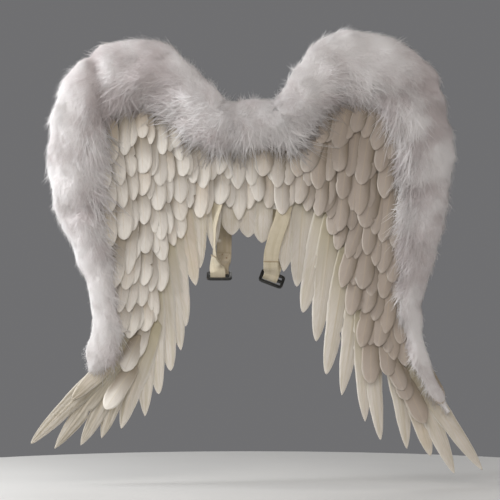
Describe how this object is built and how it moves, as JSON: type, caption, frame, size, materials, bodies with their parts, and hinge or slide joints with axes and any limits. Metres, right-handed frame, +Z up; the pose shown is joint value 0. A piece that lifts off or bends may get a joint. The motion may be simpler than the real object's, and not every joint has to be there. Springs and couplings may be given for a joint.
{
  "type": "feathered angel costume wings",
  "caption": "White feathered costume wings worn on the back: felt panels with a marabou leading edge, rows of short feathers, long flight feathers and elastic shoulder loops with strap slides.",
  "frame": {"origin": "middle of the yoke's flat back, where it lies against the wearer", "axes": "+X across the shoulders to the viewer's right, +Y towards the wearer, +Z up; the feathered face looks along -Y"},
  "size_m": [0.7596, 0.1022, 0.7424],
  "materials": {
    "felt": "matte felt",
    "marabou_down": "soft down",
    "covert_feather": "soft sheen",
    "flight_feather": "soft sheen",
    "elastic_webbing": "woven, slightly stained",
    "slide_plastic": "semi-gloss black"
  },
  "bodies": {
    "root": {"backing_left": "felt", "backing_yoke": "felt", "backing_right": "felt", "flight_left_1": "flight_feather", "flight_left_2": "flight_feather", "flight_left_3": "flight_feather", "flight_left_4": "flight_feather", "flight_left_5": "flight_feather", "flight_left_6": "flight_feather", "flight_left_7": "flight_feather", "flight_left_8": "flight_feather", "flight_left_9": "flight_feather", "flight_left_10": "flight_feather", "flight_left_11": "flight_feather", "flight_left_12": "flight_feather", "flight_left_13": "flight_feather", "flight_right_1": "flight_feather", "flight_right_2": "flight_feather", "flight_right_3": "flight_feather", "flight_right_4": "flight_feather", "flight_right_5": "flight_feather", "flight_right_6": "flight_feather", "flight_right_7": "flight_feather", "flight_right_8": "flight_feather", "flight_right_9": "flight_feather", "flight_right_10": "flight_feather", "flight_right_11": "flight_feather", "flight_right_12": "flight_feather", "yoke_tail_row": "flight_feather", "coverts_left_1": "covert_feather", "coverts_right_1": "covert_feather", "coverts_row_2": "covert_feather", "coverts_row_3": "covert_feather", "coverts_left_4": "covert_feather", "coverts_right_4": "covert_feather", "coverts_left_5": "covert_feather", "coverts_right_5": "covert_feather", "coverts_left_6": "covert_feather", "coverts_right_6": "covert_feather", "coverts_left_7": "covert_feather", "coverts_right_7": "covert_feather", "coverts_left_8": "covert_feather", "coverts_right_8": "covert_feather", "coverts_left_9": "covert_feather", "coverts_right_9": "covert_feather", "coverts_right_10": "covert_feather", "marabou_left": "marabou_down", "marabou_yoke": "marabou_down", "marabou_right": "marabou_down", "slide_left": "slide_plastic", "slide_right": "slide_plastic", "strap_front_left": "elastic_webbing", "strap_front_right": "elastic_webbing", "strap_back_left": "elastic_webbing", "strap_back_right": "elastic_webbing"}
  },
  "joints": []
}
